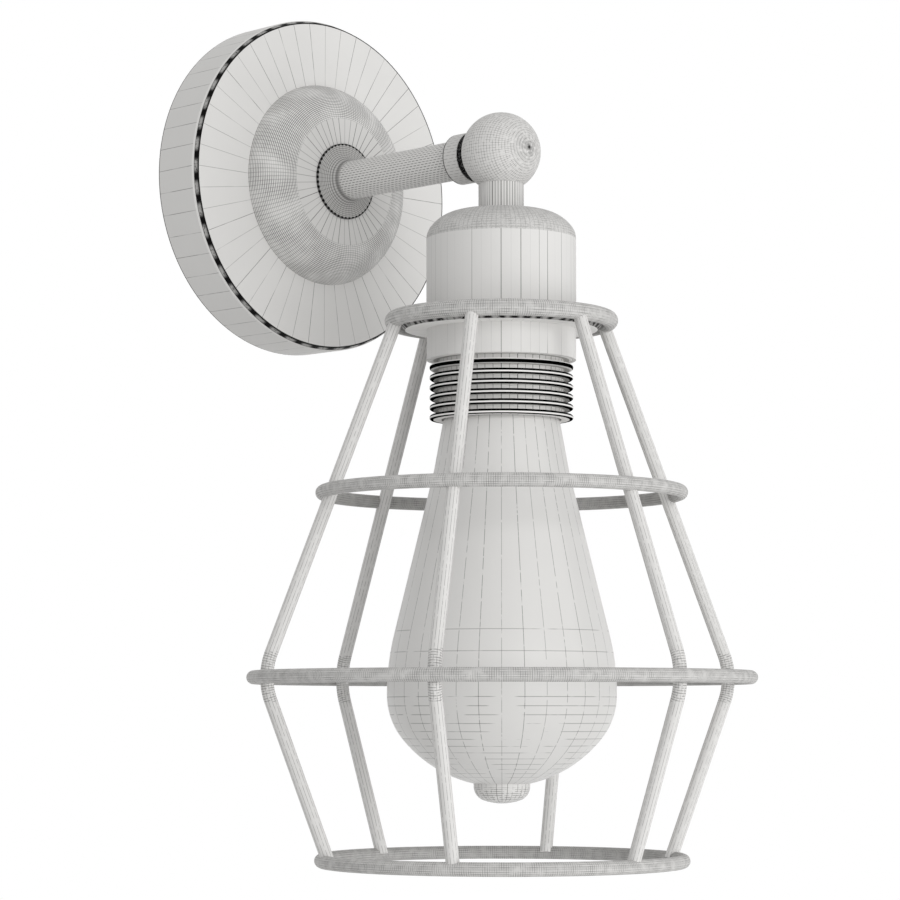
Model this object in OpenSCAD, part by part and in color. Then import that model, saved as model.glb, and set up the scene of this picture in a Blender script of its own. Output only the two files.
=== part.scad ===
// Cage wall light: a round canopy, a straight arm, a ball swivel and a lamp
// holder with a wire cage round a long pear-shaped lamp. Millimetres.
// The wall is the plane y = 0. The light stands out along -Y and hangs along -Z.
// The arm's axis is the line x = 0, z = 0, and the lamp's axis crosses it.

/* [Canopy] */
// Outer diameter of the spun canopy
canopy_d = 100.2; // [96:0.1:130]
// Height of its straight side wall
canopy_side = 15.3; // [14:0.1:24]
// Width of the chamfer round its front edge
canopy_edge_in = 0.9; // [0.5:0.1:2]
// Height of the chamfer round its front edge
canopy_edge_up = 1.85; // [0.5:0.05:3]
// Sheet thickness of the canopy
canopy_wall = 1.2; // [0.8:0.1:2]
// Radius of the flat middle of the boss
boss_top_r = 19.16; // [16:0.1:26]
// Height of the boss above the canopy's front
boss_h = 8.95; // [5:0.05:11]
// Radius of the boss's rounded shoulder
boss_round = 11.4; // [11.1:0.1:15]

/* [Wall bracket] */
// Length of the crossbar
bracket_len = 84; // [80:1:88]
// Width of the crossbar
bracket_w = 20; // [17:1:26]
// Sheet thickness of the crossbar
bracket_t = 2; // [1.5:0.1:3]
// Clear height under the crossbar's bridge
bracket_rise = 10; // [9:0.5:12]
// Length of the bridge
bridge_len = 34; // [34:1:38]
// Run of each sloped riser
riser_run = 3; // [2:0.5:4]
// Distance between the two wall screws
screw_spacing = 60; // [56:1:64]
// Width of the screw slots
slot_w = 4.6; // [4:0.1:5.5]
// End to end length of the screw slots
slot_len = 12; // [7:0.5:13]
// Distance of the earth screw from the middle
earth_x = 12.5; // [11.5:0.5:13]
// Shank radius of the earth screw
earth_r = 2; // [1.5:0.1:2.5]
// Head radius of the earth screw
earth_head_r = 3.4; // [3:0.1:3.6]
// Head height of the earth screw
earth_head_h = 2.4; // [2:0.1:3]

/* [Supply side] */
// Radius of the threaded nipples
nipple_r = 4; // [3.9:0.1:4.2]
// Bore radius of the threaded nipples
nipple_bore = 2.6; // [2.3:0.1:3]
// Length of nipple inside the arm
nipple_grip = 14; // [8:1:30]
// Width across the flats of the locknuts
nut_af = 13; // [12:0.5:14]
// Thickness of the locknuts
nut_t = 3.5; // [2.5:0.5:4]
// Radius of the flex
flex_r = 2; // [1.6:0.1:2.1]
// Bend radius of the flex's centre line
flex_bend = 3.2; // [2.6:0.1:3.4]
// Width of the terminal block
block_w = 28; // [28:1:34]
// Height of the terminal block
block_h = 16; // [14:1:20]
// Depth of the terminal block
block_t = 13; // [12:0.5:13.5]
// Poles of the terminal block
block_poles = 4; // [3:1:4]
// Radius of the terminal block's screws
block_screw_r = 1.9; // [1.4:0.1:2.2]
// Radius of the single leads
lead_r = 0.9; // [0.6:0.1:1]

/* [Arm] */
// Distance from the wall to the lamp's axis
arm_reach = 92.6; // [86:0.1:160]
// Outer diameter of the arm tube
arm_d = 11.3; // [10.6:0.1:12]
// Outer diameter of the flange at the canopy
flange_d = 22.7; // [20.5:0.1:30]
// Thickness of the flange's rim
flange_rim = 0.6; // [0.4:0.1:2]
// Radius of the flange's hollow fillet
flange_fillet = 3.4; // [2:0.1:3.8]
// Width of the flange's lip round the arm
flange_lip = 0.25; // [0.1:0.05:0.5]
// Outer diameter of the collar at the arm's end
collar_d = 14.5; // [14:0.1:16]
// Length of the collar
collar_len = 6; // [4:0.1:10]
// Thickness of the collar's front wall
collar_wall = 2; // [1.5:0.1:2.5]
// Chamfer of the collar's wall-side edge
collar_edge = 0.4; // [0.2:0.1:0.8]

/* [Swivel] */
// Diameter of the ball
ball_d = 22.6; // [21.6:0.1:26]
// Depth of the flat cut on the ball's arm side
ball_cut = 0.75; // [0.6:0.05:0.9]
// Running gap between the collar and the ball's flat
swivel_gap = 0.3; // [0.2:0.05:0.5]
// Step of the washer behind the collar's edge
washer_step = 0.15; // [0.1:0.05:0.5]
// Bore radius of the friction washer
washer_bore = 4.2; // [4:0.05:4.3]
// Radius of the hollow spindle
spindle_r = 3; // [2.8:0.05:3.2]
// Bore radius of the spindle
spindle_bore = 2.2; // [2.2:0.05:2.4]
// Thickness of the spring washer
spring_t = 0.6; // [0.4:0.1:1]
// Length of the round nut on the spindle
ring_nut_len = 3; // [2:0.5:5]
// Radius of the round nut and the spring washer
ring_nut_r = 3.85; // [3.6:0.05:3.85]
// Radius of the stop pin
pin_r = 0.75; // [0.5:0.05:0.75]
// Radius of the circle that the stop pin rides on
pin_circle = 5.2; // [5.15:0.05:5.3]
// Depth of the stop pin's groove below the ball's pole
groove_depth = 3.7; // [3.4:0.1:4.2]
// Turn of the head to each side, degrees
swivel_limit = 160; // [90:5:160]
// Radius of the wire chamber inside the ball
chamber_r = 5.2; // [4.8:0.1:5.6]
// Radius of the turning mark at the ball's front
mark_r = 0.45; // [0.3:0.05:0.8]

/* [Neck and holder cap] */
// Outer diameter of the neck
neck_d = 12.86; // [12.4:0.1:13.4]
// Drop from the ball's centre to the neck's seat inside the ball
neck_seat = 7; // [6.6:0.1:7.6]
// Drop from the ball's centre to the top of the holder cap
cap_drop = 17.2; // [15:0.1:24]
// Outer radius of the holder cap
cap_r = 21.2; // [21:0.05:21.6]
// Radius of the flat top of the holder cap
cap_top_r = 11.06; // [10.6:0.1:12]
// Radius of the cap's rounded shoulder
cap_round = 11.27; // [11:0.1:13]
// Radius that softens the shoulder where the dome meets the side
cap_shoulder = 5.1; // [3:0.1:6]
// Height of the holder cap
cap_h = 32.3; // [31:0.1:44]
// Sheet thickness of the holder cap
cap_wall = 1.2; // [1:0.05:1.25]

/* [Lamp holder] */
// Length of the skirt below the cage's disc
skirt_len = 25.5; // [23:0.1:34]
// Length of the skirt's barrel inside the cap
barrel_len = 5; // [3:0.5:6]
// Radius of the thread's crests
crest_r = 20.3; // [20:0.05:20.35]
// Radius of the thread's roots
root_r = 17.5; // [17.4:0.05:18]
// Thickness of each crest
crest_t = 1.5; // [1:0.05:1.7]
// Distance from crest to crest
crest_pitch = 2.83; // [2.4:0.01:3.4]
// Distance from the skirt's mouth to its first crest's middle
crest_first = 0.6; // [0.6:0.05:0.8]
// Outer radius of the shade ring
shade_ring_r = 21.1; // [21:0.05:22]
// Height of the shade ring
shade_ring_h = 8.6; // [5:0.1:12]
// Inner radius of the brass screw shell
shell_r = 13.25; // [13.2:0.05:13.3]
// Sheet thickness of the screw shell
shell_wall = 0.5; // [0.3:0.05:0.5]
// Length of the screw shell below the insulator's underside
shell_len = 24.3; // [20:0.1:24.6]
// Outer radius of the insulator
insulator_r = 18.6; // [17:0.1:19.5]
// Height of the insulator
insulator_h = 15.5; // [10:0.5:15.5]
// Depth of the insulator's contact chamber
contact_depth = 4; // [3:0.1:6]
// Thickness of the contact strip
strip_t = 0.6; // [0.4:0.1:0.8]
// Height of the contact's button
button_h = 0.7; // [0.4:0.1:1]
// Distance of the terminal screws from the lamp's axis
terminal_x = 10; // [9:0.5:13]
// Head radius of the terminal screws
terminal_head_r = 2.6; // [2:0.1:3]
// Head height of the terminal screws
terminal_head_h = 2.6; // [2.2:0.1:3]
// Depth of the terminal screws in the insulator
terminal_depth = 5; // [3:0.5:8]
// Bend radius of the two leads' centre lines
lead_bend = 1.6; // [1.2:0.1:1.8]

/* [Cage] */
// Centre radius of the top ring
top_ring_r = 30.66; // [29:0.1:36]
// Wire radius of the top ring
top_wire_r = 2.35; // [1.9:0.05:2.8]
// Height of the top ring's underside above the disc's
top_lift = 0.2; // [0.1:0.05:0.5]
// Thickness of the cage's disc
disc_t = 1.5; // [1.2:0.1:2]
// Chamfer of the disc's lower edge
disc_edge = 1.15; // [0.4:0.05:1.15]
// Drop from the top ring to the upper ring
upper_drop = 48.73; // [30:0.1:70]
// Drop from the top ring to the waist ring
waist_drop = 100.49; // [90:0.1:120]
// Drop from the top ring to the bottom ring
bottom_drop = 151.31; // [140:0.1:180]
// Centre radius of the waist ring
waist_ring_r = 69.52; // [60:0.1:90]
// Centre radius of the bottom ring
bottom_ring_r = 50.44; // [42:0.1:58]
// Wire radius of the three lower rings
ring_wire_r = 1.9; // [1.85:0.05:2.4]
// Radius of the rods
rod_r = 1.85; // [1.5:0.05:1.9]
// Number of rods
rod_count = 6; // [6:1:6]
// Bend radius of the rods at the waist
rod_bend = 19; // [14:1:24]
// Inset of the rods from the top ring's centre line
rod_in_top = 0.5; // [0.2:0.05:0.5]
// Inset of the rods from the upper ring's centre line
rod_in_upper = 1.92; // [1.6:0.02:2.4]
// Inset of the rods' corner from the waist ring's centre line
rod_in_waist = 1.42; // [1:0.02:2]
// Inset of the rods from the bottom ring's centre line
rod_in_bottom = 1.1; // [0.6:0.05:1.6]
// Angle of the first rod round the lamp's axis
rod_start = 30; // [0:1:60]

/* [Lamp] */
// Largest diameter of the glass
lamp_d = 64.4; // [58:0.1:70]
// Distance from the cap's contact to the widest part
lamp_belly = 111.6; // [104:0.1:116]
// Radius of the glass just below its widest part
lamp_belly_round = 20; // [18:0.5:21]
// Radius of the glass's round end
lamp_end_round = 35.8; // [34:0.1:40]
// Radius of the curve above the widest part
lamp_upper_round = 72; // [60:1:90]
// Half angle of the long cone, degrees
lamp_cone = 13.66; // [12.5:0.05:14]
// Diameter of the glass at the holder's mouth
lamp_neck_d = 33.2; // [32:0.1:33.2]
// Distance from the cap's contact to that neck
lamp_neck = 35.5; // [35:0.1:38]
// Distance from the cap's contact to the start of the cone
lamp_cone_top = 48.8; // [44:0.1:56]
// Radius of the blunt tip
lamp_tip_r = 7.93; // [5:0.1:9]
// Length of the blunt tip beyond the round end
lamp_tip_len = 4.6; // [3:0.1:7]
// Radius that rounds the tip's edge
lamp_tip_round = 4.2; // [2:0.1:4.4]
// Wall of the glass
lamp_wall = 0.9; // [0.6:0.1:1.1]
// Crest radius of the cap's thread
lamp_thread_r = 13.05; // [12.8:0.05:13.1]
// Pitch of the cap's thread
lamp_pitch = 3.6; // [3.4:0.1:3.8]
// Length of the filaments
filament_len = 38; // [30:1:42]
// Radius of each filament
filament_r = 0.8; // [0.5:0.1:1.2]
// Radius of the circle of filaments
filament_circle = 9; // [7:0.5:11]

/* [Hidden] */
$fn = 96;
eps = 1;                       // how far a cut runs past the face it opens
fit_clear = 0.05;              // thread and press clearance, radial
run_clear = 0.06;              // running clearance of the swivel, radial
weld_clear = 0.02;             // joint clearance of rods and rings
knee_swell = 0.01;             // a bent rod is this much thicker in its bend, radial
knee_lap = 0.3;                // how far the bars run into the bend
hole_clear = 0.2;              // canopy hole round the nipple
thread_clear = 0.1;            // skirt thread inside the shade ring
seat_clear = 0.2;              // lamp contact below the holder's contact
canopy_r = canopy_d / 2;
canopy_front = canopy_side + canopy_edge_up;
boss_top = canopy_front + boss_h;
arm_r = arm_d / 2;
arm_bore = nipple_r + fit_clear;
collar_r = collar_d / 2;
flange_r = flange_d / 2;
ball_r = ball_d / 2;
ball_flat = ball_r - ball_cut;
collar_face = ball_flat + swivel_gap;
washer_r = collar_r - washer_step;
arm_end = collar_face + collar_wall + 2 * fit_clear;
spring_at = collar_face + collar_wall + fit_clear;
nut_at = spring_at + spring_t;
spindle_end = nut_at + ring_nut_len + 1;
groove_floor = ball_r - groove_depth;
groove_half = swivel_limit + asin((pin_r + thread_clear) / pin_circle);
neck_r = neck_d / 2;
nipple_back = bracket_rise - nut_t - 0.3;
flex_drop_y = nipple_back - flex_bend;
block_top = bracket_w / 2 + 0.3;
block_back = 1;
earth_lead_y = bracket_rise + bracket_t + lead_r + 0.1;
neck_nipple_top = neck_seat + 1.5;
neck_nipple_end = cap_drop + cap_wall + nut_t + 1;
head_flex_end = neck_nipple_end + 2;
shoulder_in = cap_r - cap_shoulder - cap_top_r;
shoulder_up = sqrt(pow(cap_round - cap_shoulder, 2) - pow(shoulder_in, 2));
p_shoulder = [cap_r - cap_shoulder, cap_round - shoulder_up];
shoulder_dir = [shoulder_in, -shoulder_up] / (cap_round - cap_shoulder);
disc_top = cap_drop + cap_h;
disc_under = disc_top + disc_t;
barrel_r = cap_r - cap_wall - 2 * fit_clear;
skirt_top = disc_top - barrel_len;
insulator_top = skirt_top - insulator_h;
contact_roof = skirt_top - contact_depth;
shell_out = shell_r + shell_wall;
lamp_top = contact_roof + strip_t + button_h + seat_clear;
crest_count = floor((skirt_len - crest_first - crest_t) / crest_pitch) + 1;
disc_hole = crest_r + 0.2;
disc_r = top_ring_r - sqrt(pow(top_wire_r, 2) - pow(top_wire_r + top_lift - disc_t, 2)) - fit_clear;
top_drop = disc_under - top_wire_r - top_lift;
p_top = [top_ring_r - rod_in_top, -top_drop];
p_waist = [waist_ring_r - rod_in_waist, -top_drop - waist_drop];
p_bottom = [bottom_ring_r - rod_in_bottom, -top_drop - bottom_drop];
upper_ring_r = p_top.x + (p_waist.x - p_top.x) * upper_drop / waist_drop + rod_in_upper;
tilt_up = atan2(p_waist.x - p_top.x, p_top.y - p_waist.y);
tilt_low = atan2(p_waist.x - p_bottom.x, p_waist.y - p_bottom.y);
bend_run = rod_bend * tan((tilt_up + tilt_low) / 2);
p_bend_up = p_waist - bend_run * [sin(tilt_up), -cos(tilt_up)];
p_bend_low = p_waist + bend_run * [-sin(tilt_low), -cos(tilt_low)];
p_lap_up = p_bend_up + knee_lap * [sin(tilt_up), -cos(tilt_up)];
p_lap_low = p_bend_low - knee_lap * [-sin(tilt_low), -cos(tilt_low)];
p_bend_mid = p_bend_up - rod_bend * [cos(tilt_up), sin(tilt_up)];
lamp_r = lamp_d / 2;
lamp_neck_r = lamp_neck_d / 2;
belly_mid = lamp_r - lamp_belly_round;
end_mid = lamp_belly - sqrt(pow(lamp_end_round - lamp_belly_round, 2) - pow(belly_mid, 2));
end_angle = atan2(lamp_belly - end_mid, belly_mid);
cone_end_r = lamp_r - lamp_upper_round * (1 - cos(lamp_cone));
cone_end = lamp_belly - lamp_upper_round * sin(lamp_cone);
cone_top_r = cone_end_r - (cone_end - lamp_cone_top) * tan(lamp_cone);
lamp_bottom = end_mid + lamp_end_round;
tip_crown = 0.6;               // rise of the tip's end inside its round edge
tip_edge_mid = [lamp_tip_r - lamp_tip_round, lamp_bottom + lamp_tip_len - lamp_tip_round - tip_crown];
tip_end_r = (pow(tip_edge_mid.x, 2) + pow(tip_crown, 2)) / (2 * tip_crown) + lamp_tip_round;
tip_end_mid = lamp_bottom + lamp_tip_len - tip_end_r;
tip_angle = atan2(tip_edge_mid.y - tip_end_mid, tip_edge_mid.x);
tip_root = lamp_bottom - 3;    // the tip's side starts inside the glass
strip_len = 16;                // centre contact's strip
strip_w = 5;
rivet_r = 1.5;                 // rivet that holds the strip
rivet_h = 3;
rivet_room = 4;                // depth of the hole that takes it
mouth_gap = 0.35;              // from the glass to the skirt's mouth
mouth_land = 1.5;              // height of the mouth's straight bore
mouth_draft = 0.05;            // and how much it narrows inwards
cap_sheet = 0.5;               // sheet of the lamp's cap
lamp_contact_r = 4.9;          // solder contact on the lamp's cap
lamp_contact_t = 1.3;
lamp_contact_edge = 0.6;       // height of its sloping edge
lamp_seat_r = 5.2;             // insulator round that contact
lamp_seat_end = 6;             // from the contact to the insulator's inner face
lamp_core_top = 4.2;           // from the contact to the top of the cap's shell
lamp_cap_len = 28.4;           // from the contact to the cap's open end
lamp_cap_r = 12.6;             // glass inside the cap's rim
lamp_core_r = lamp_thread_r - 0.75;
cap_step = lamp_cap_len - 2.8; // where the cap widens to its rim
stem_foot_r = 4;               // stem above its flare
stem_rod_r = 2.2;              // glass rod that carries the supports
stem_foot = 9;                 // from the cap's open end to the stem's narrow foot
stem_waist = 12;               // and on to the rod
filament_top = 51;             // from the contact to the filaments' upper ends

// Colours of the photographed finish and of the hidden pieces
pale = [0.82, 0.81, 0.8];
mid_grey = [0.68, 0.67, 0.66];
dark_grey = [0.5, 0.5, 0.5];
black = [0.1, 0.1, 0.1];
zinc = [0.75, 0.76, 0.78];
brass = [0.8, 0.65, 0.3];
cream = [0.93, 0.91, 0.86];

// Places its child on the arm's axis, its z being the distance from the wall
module from_wall() {
    rotate([90, 0, 0])
        children();
}

// Places its child on the arm's axis, its z being the distance from the lamp's axis
module from_ball() {
    translate([0, -arm_reach, 0])
        rotate([-90, 0, 0])
            children();
}

// Places its child on the lamp's axis, its z being the drop below a given drop
module hung(drop) {
    translate([0, -arm_reach, -drop])
        mirror([0, 0, 1])
            children();
}

// Round tube standing on z = 0
module tube(outer, inner, h) {
    difference() {
        cylinder(r = outer, h = h);
        translate([0, 0, -eps])
            cylinder(r = inner, h = h + 2 * eps);
    }
}

// Hexagon nut standing on z = 0
module hex_nut(bore) {
    difference() {
        cylinder(r = nut_af / 2 / cos(30), h = nut_t, $fn = 6);
        translate([0, 0, -eps])
            cylinder(r = bore, h = nut_t + 2 * eps);
    }
}

// Quarter bend of a round cord in the y-z plane, about its own bend centre
module quarter_bend(start, bend, r) {
    rotate([90, 0, 90])
        rotate([0, 0, start])
            rotate_extrude(angle = 90)
                translate([bend, 0])
                    circle(r = r);
}

// Slotted screw with its head on z = 0 and its shank below
module slotted_screw(head_r, head_h, shank_r, shank_len) {
    difference() {
        union() {
            cylinder(r = head_r, h = head_h);
            translate([0, 0, -shank_len])
                cylinder(r = shank_r, h = shank_len + head_h / 2);
        }
        translate([-head_r - eps, -head_h / 6, head_h * 0.6])
            cube([2 * head_r + 2 * eps, head_h / 3, head_h]);
    }
}

// ---- Canopy and what it covers ----

// Half section of the canopy's boss, drawn in by the sheet thickness for its hollow
module boss_section(inset) {
    translate([boss_top_r, boss_top - boss_round])
        circle(r = boss_round - inset);
    square([boss_top_r, boss_top - inset]);
}

module canopy() {
    color(pale)
        from_wall()
            rotate_extrude()
                difference() {
                    union() {
                        polygon([[0, 0], [canopy_r, 0], [canopy_r, canopy_side],
                            [canopy_r - canopy_edge_in, canopy_front], [0, canopy_front]]);
                        boss_section(0);
                    }
                    translate([0, -eps])
                        square([canopy_r - canopy_wall, canopy_front - canopy_wall + eps]);
                    boss_section(canopy_wall);
                    square([nipple_r + hole_clear, boss_top + eps]);
                }
}

// Outline of the hat-shaped crossbar, seen from above
module bracket_section() {
    half = bracket_len / 2;
    low = bridge_len / 2 + riser_run;
    high = bridge_len / 2;
    side = bracket_t * (norm([riser_run, bracket_rise]) - riser_run) / bracket_rise;
    top = bracket_rise + bracket_t;
    polygon([[-half, 0], [-low, 0], [-high, -bracket_rise], [high, -bracket_rise], [low, 0],
        [half, 0], [half, -bracket_t], [low + side, -bracket_t], [high + side, -top],
        [-high - side, -top], [-low - side, -bracket_t], [-half, -bracket_t]]);
}

module wall_bracket() {
    color(zinc)
        difference() {
            linear_extrude(bracket_w, center = true)
                bracket_section();
            for (side = [-1, 1])
                translate([side * screw_spacing / 2, 0, 0])
                    screw_slot();
            from_wall()
                translate([0, 0, bracket_rise - eps])
                    cylinder(r = nipple_r + fit_clear, h = bracket_t + 2 * eps);
            from_wall()
                translate([earth_x, 0, bracket_rise - eps])
                    cylinder(r = earth_r + fit_clear, h = bracket_t + 2 * eps);
        }
}

// Cutter for one slot, long along x
module screw_slot() {
    reach = (slot_len - slot_w) / 2;
    from_wall()
        translate([0, 0, -eps]) {
            for (end = [-1, 1])
                translate([end * reach, 0, 0])
                    cylinder(r = slot_w / 2, h = bracket_t + 2 * eps);
            translate([-reach, -slot_w / 2, 0])
                cube([2 * reach, slot_w, bracket_t + 2 * eps]);
        }
}

module canopy_nipple() {
    color(zinc)
        from_wall()
            translate([0, 0, nipple_back])
                tube(nipple_r, nipple_bore, boss_top + nipple_grip - nipple_back);
}

module nipple_locknuts() {
    color(zinc)
        from_wall() {
            translate([0, 0, bracket_rise - nut_t])
                hex_nut(nipple_r + fit_clear);
            translate([0, 0, bracket_rise + bracket_t])
                hex_nut(nipple_r + fit_clear);
        }
}

module earth_screw() {
    color(brass)
        from_wall()
            translate([earth_x, 0, bracket_rise + bracket_t])
                slotted_screw(earth_head_r, earth_head_h, earth_r, bracket_t + 2);
}

// Places its child on each terminal screw of the block
module at_block_screws() {
    pole = block_w / block_poles;
    for (i = [0 : block_poles - 1])
        for (row = [0.25, 0.75])
            translate([pole * (i + 0.5) - block_w / 2, -block_top - row * block_h,
                block_back + block_t])
                children();
}

module terminal_block() {
    color(cream)
        from_wall()
            difference() {
                translate([-block_w / 2, -block_top - block_h, block_back])
                    cube([block_w, block_h, block_t]);
                at_block_screws()
                    translate([0, 0, -block_t / 2])
                        cylinder(r = block_screw_r + hole_clear, h = block_t);
            }
}

module block_screws() {
    color(zinc)
        from_wall()
            at_block_screws()
                translate([0, 0, -block_t / 2])
                    slotted_screw(block_screw_r, block_t / 4, block_screw_r / 2, 0);
}

module earth_lead() {
    color([0.35, 0.6, 0.2])
        translate([earth_x, -earth_lead_y, -block_top])
            cylinder(r = lead_r, h = block_top - earth_head_r - fit_clear);
}

// ---- Arm ----

module arm_flex() {
    color(cream) {
        from_wall()
            translate([0, 0, nipple_back])
                cylinder(r = flex_r, h = arm_reach - flex_bend - nipple_back);
        translate([0, -nipple_back, -flex_bend])
            quarter_bend(0, flex_bend, flex_r);
        translate([0, -flex_drop_y, -block_top])
            cylinder(r = flex_r, h = block_top - flex_bend);
    }
}

module arm_flange() {
    foot = arm_r + flange_lip + flange_fillet;
    top = flange_rim + flange_fillet;
    color(dark_grey)
        from_wall()
            translate([0, 0, boss_top])
                rotate_extrude()
                    difference() {
                        union() {
                            square([flange_r, flange_rim]);
                            square([foot, top]);
                        }
                        translate([foot, top])
                            circle(r = flange_fillet);
                        translate([0, -eps])
                            square([arm_r + fit_clear, top + 2 * eps]);
                    }
}

module arm_tube() {
    start = boss_top + 2 * fit_clear;
    color(pale)
        from_wall()
            translate([0, 0, start])
                tube(arm_r, arm_bore, arm_reach - arm_end - start);
}

module arm_collar() {
    color(pale)
        from_ball()
            translate([0, 0, collar_face])
                difference() {
                    rotate_extrude()
                        polygon([[0, 0], [collar_r, 0], [collar_r, collar_len - collar_edge],
                            [collar_r - collar_edge, collar_len], [0, collar_len]]);
                    translate([0, 0, -eps])
                        cylinder(r = spindle_r + run_clear, h = collar_len + 2 * eps);
                    translate([0, 0, collar_wall])
                        cylinder(r = arm_r + fit_clear, h = collar_len);
                    translate([0, -pin_circle, -eps])
                        cylinder(r = pin_r + fit_clear, h = collar_wall + 2 * eps);
                }
}

module swivel_washer() {
    low = sqrt(pow(ball_r, 2) - pow(washer_r, 2)) - eps;
    color(black)
        from_ball()
            difference() {
                translate([0, 0, low])
                    cylinder(r = washer_r, h = collar_face - low);
                sphere(r = ball_r + run_clear);
                cylinder(r = washer_bore, h = collar_face + eps);
                translate([0, -pin_circle, 0])
                    cylinder(r = pin_r + fit_clear, h = collar_face + eps);
            }
}

module stop_pin() {
    bottom = groove_floor + hole_clear;
    color(zinc)
        from_ball()
            translate([0, -pin_circle, bottom])
                cylinder(r = pin_r, h = collar_face + collar_wall - bottom);
}

// ---- Swivel and neck ----

// Curved slot in the ball that the stop pin rides in
module pin_groove() {
    inner = pin_circle - pin_r - thread_clear;
    rotate([0, 0, -90 - groove_half])
        rotate_extrude(angle = 2 * groove_half)
            translate([inner, groove_floor])
                square([2 * (pin_r + thread_clear), groove_depth]);
}

module swivel_ball() {
    color(pale)
        difference() {
            translate([0, -arm_reach, 0])
                sphere(r = ball_r);
            from_ball() {
                translate([0, 0, ball_flat])
                    cylinder(r = ball_r, h = ball_r);
                cylinder(r = spindle_r + fit_clear, h = ball_r);
                sphere(r = chamber_r);
                pin_groove();
                translate([0, 0, -ball_r - eps])
                    cylinder(r = mark_r, h = 2 * eps);
            }
            hung(neck_seat)
                cylinder(r = neck_r + fit_clear, h = ball_r);
            hung(0)
                cylinder(r = nipple_bore, h = neck_seat + eps);
        }
}

module swivel_spindle() {
    color(zinc)
        from_ball()
            translate([0, 0, chamber_r])
                tube(spindle_r, spindle_bore, spindle_end - chamber_r);
}

module swivel_spring() {
    color(zinc)
        from_ball()
            translate([0, 0, spring_at])
                tube(ring_nut_r, spindle_r + fit_clear, spring_t);
}

module swivel_nut() {
    color(zinc)
        from_ball()
            translate([0, 0, nut_at])
                tube(ring_nut_r, spindle_r + fit_clear, ring_nut_len);
}

module neck_tube() {
    color(pale)
        hung(neck_seat + fit_clear)
            tube(neck_r, nipple_r + fit_clear, cap_drop - neck_seat - fit_clear);
}

module neck_nipple() {
    color(zinc)
        hung(neck_nipple_top)
            tube(nipple_r, nipple_bore, neck_nipple_end - neck_nipple_top);
}

module neck_locknut() {
    color(zinc)
        hung(cap_drop + cap_wall)
            hex_nut(nipple_r + fit_clear);
}

module head_flex() {
    color(cream) {
        translate([0, flex_bend - arm_reach, -flex_bend])
            quarter_bend(90, flex_bend, flex_r);
        hung(flex_bend)
            cylinder(r = flex_r, h = head_flex_end - flex_bend);
    }
}

// ---- Lamp holder ----

// Half section of the cap, drawn in by the sheet thickness for its hollow
module cap_section(inset, length) {
    difference() {
        intersection() {
            union() {
                translate([cap_top_r, cap_round])
                    circle(r = cap_round - inset);
                translate([0, inset])
                    square([cap_top_r, length - inset]);
                translate([0, cap_round])
                    square([cap_r - inset, length - cap_round]);
            }
            square([cap_r - inset, length]);
        }
        difference() {
            polygon([p_shoulder, p_shoulder + 2 * cap_shoulder * shoulder_dir,
                p_shoulder + 2 * cap_shoulder * (shoulder_dir + [1, 0]),
                p_shoulder + 2 * cap_shoulder * [1, 0]]);
            translate(p_shoulder)
                circle(r = cap_shoulder - inset);
        }
    }
}

module holder_cap() {
    color(pale)
        hung(cap_drop)
            rotate_extrude()
                difference() {
                    cap_section(0, cap_h);
                    cap_section(cap_wall, cap_h + eps);
                    square([nipple_r + fit_clear, cap_h]);
                }
}

// Two leads from the flex's end to the sides of the terminal screws' heads
module holder_leads() {
    start = lead_r + 0.1;
    run_at = insulator_top - terminal_head_h * 0.6;
    run = terminal_x - terminal_head_r - fit_clear - start - lead_bend;
    color(cream)
        for (side = [0, 180])
            translate([0, -arm_reach, lead_bend - run_at])
                rotate([0, 0, side]) {
                    translate([start + lead_bend, 0, 0])
                        rotate([90, 0, 0])
                            rotate([0, 0, 180])
                                rotate_extrude(angle = 90)
                                    translate([lead_bend, 0])
                                        circle(r = lead_r);
                    translate([start, 0, 0])
                        cylinder(r = lead_r, h = run_at - lead_bend - head_flex_end);
                    translate([start + lead_bend, 0, -lead_bend])
                        rotate([0, 90, 0])
                            cylinder(r = lead_r, h = run);
                }
}

module terminal_screws() {
    color(brass)
        for (side = [-1, 1])
            translate([side * terminal_x, -arm_reach, -insulator_top])
                slotted_screw(terminal_head_r, terminal_head_h, terminal_head_r / 2, terminal_depth);
}

module holder_insulator() {
    color(cream)
        difference() {
            hung(insulator_top)
                difference() {
                    cylinder(r = insulator_r, h = insulator_h);
                    translate([0, 0, insulator_h - contact_depth])
                        cylinder(r = shell_out + fit_clear, h = contact_depth + eps);
                    translate([0, 0, insulator_h - contact_depth - rivet_room])
                        cylinder(r = rivet_r + fit_clear, h = rivet_room + eps);
                }
            for (side = [-1, 1])
                translate([side * terminal_x, -arm_reach, -insulator_top - terminal_depth - eps])
                    cylinder(r = terminal_head_r / 2 + fit_clear, h = terminal_depth + 2 * eps);
        }
}

module screw_shell() {
    color(brass)
        hung(contact_roof + 2 * fit_clear)
            tube(shell_out, shell_r, skirt_top + shell_len - contact_roof - 2 * fit_clear);
}

module centre_contact() {
    color(brass)
        hung(contact_roof) {
            translate([-strip_len / 2, -strip_w / 2, 0])
                cube([strip_len, strip_w, strip_t]);
            translate([0, 0, strip_t / 2])
                cylinder(r = strip_w / 2, h = strip_t / 2 + button_h);
            translate([0, 0, -rivet_h])
                cylinder(r = rivet_r, h = rivet_h + strip_t / 2);
        }
}

// Half section of the skirt's threaded length, its crests standing apart
module thread_section(grow) {
    square([root_r + grow, skirt_len]);
    for (i = [0 : crest_count - 1])
        translate([0, skirt_len - crest_first - crest_pitch * i]) {
            translate([0, -crest_t / 2 - grow])
                square([crest_r - crest_t / 2, crest_t + 2 * grow]);
            translate([crest_r - crest_t / 2, 0])
                circle(r = crest_t / 2 + grow);
        }
}

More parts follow.
